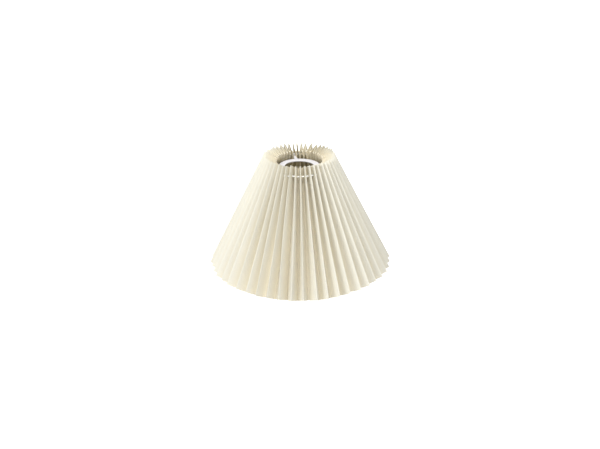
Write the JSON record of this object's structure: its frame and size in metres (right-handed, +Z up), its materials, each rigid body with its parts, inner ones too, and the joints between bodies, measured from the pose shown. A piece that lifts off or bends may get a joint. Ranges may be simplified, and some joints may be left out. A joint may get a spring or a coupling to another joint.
{
  "type": "pleated lamp shade",
  "caption": "Cone lamp shade folded from one pleated sheet, drawn together near the top by a threaded cord, with a flat ring inside for a lampholder.",
  "frame": {"origin": "on the shade's axis, at the height of the hem's lowest points", "axes": "+Z up along the axis of the cone, -Y the front, with an outer fold at the front"},
  "size_m": [0.2705, 0.2702, 0.1753],
  "materials": {
    "laminated_fabric": "matte",
    "adhesive": "matte",
    "cord": "matte",
    "white_enamel": "satin"
  },
  "bodies": {
    "root": {"pleated_sheet": "laminated_fabric", "seam_overlap": "laminated_fabric", "seam_adhesive": "adhesive", "drawstring": "cord", "drawstring_knot": "cord", "fitter_ring": "white_enamel", "carrier_tongue_back": "white_enamel", "carrier_tongue_right": "white_enamel", "carrier_tongue_left": "white_enamel"}
  },
  "joints": []
}
